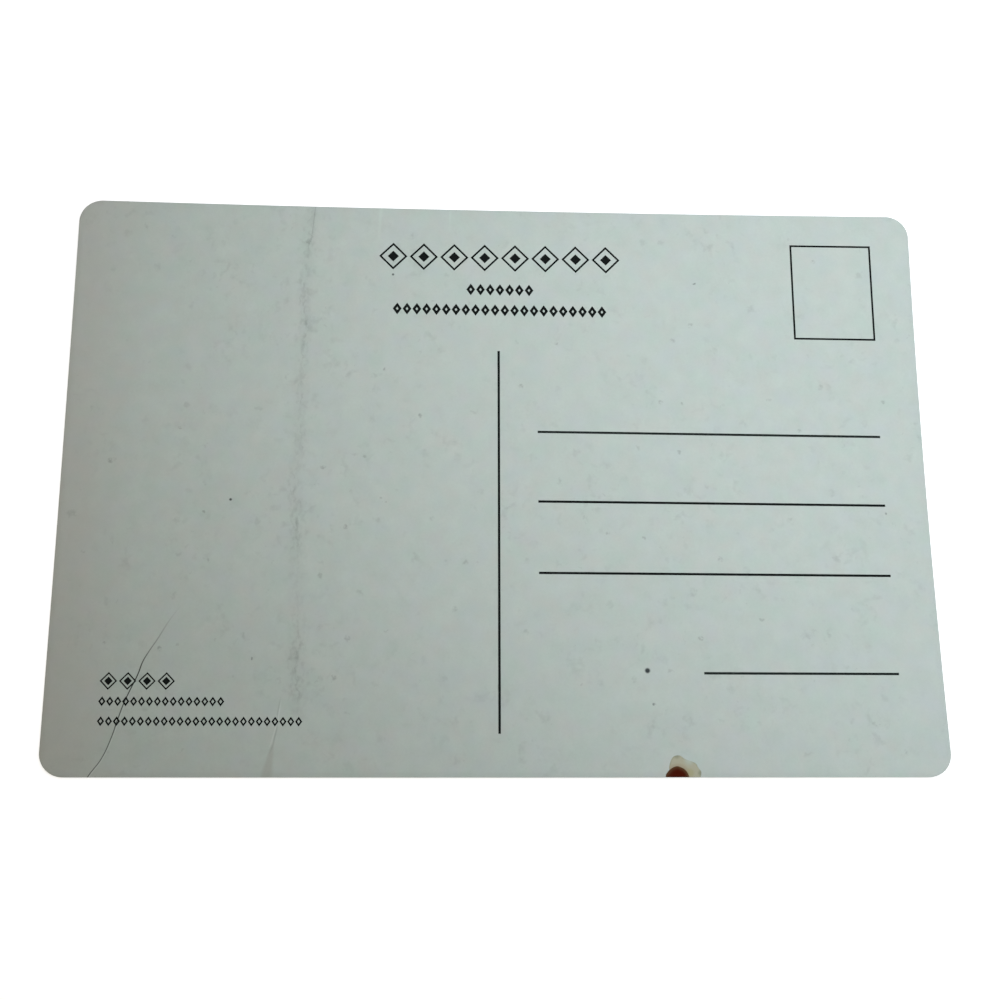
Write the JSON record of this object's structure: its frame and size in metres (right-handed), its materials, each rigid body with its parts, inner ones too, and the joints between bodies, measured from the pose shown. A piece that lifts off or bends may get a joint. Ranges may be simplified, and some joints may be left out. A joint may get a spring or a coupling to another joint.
{
  "type": "picture postcard",
  "caption": "Rounded-corner paperboard card with a printed address side: divider, address rules and stamp box; lies flat, picture side down.",
  "frame": {"origin": "under the middle of the card, on the table that its picture side rests on", "axes": "+X to the right along the long side as the address side is read, +Y to the top edge, +Z out of the address side"},
  "size_m": [0.148, 0.1, 0.0003],
  "materials": {
    "liner": "matte",
    "core": "matte",
    "coating": "satin",
    "picture_ink": "satin",
    "varnish": "gloss",
    "black_ink": "matte"
  },
  "bodies": {
    "root": {"gloss_varnish": "varnish", "picture_print": "picture_ink", "clay_coating": "coating", "picture_liner": "liner", "core_ply": "core", "address_liner": "liner", "divider_rule": "black_ink", "address_rule_upper": "black_ink", "address_rule_middle": "black_ink", "address_rule_lower": "black_ink", "postcode_rule": "black_ink", "stamp_box": "black_ink", "heading_band": "black_ink", "heading_row_short": "black_ink", "heading_row_long": "black_ink", "caption_band": "black_ink", "caption_row_short": "black_ink", "caption_row_long": "black_ink"}
  },
  "joints": []
}
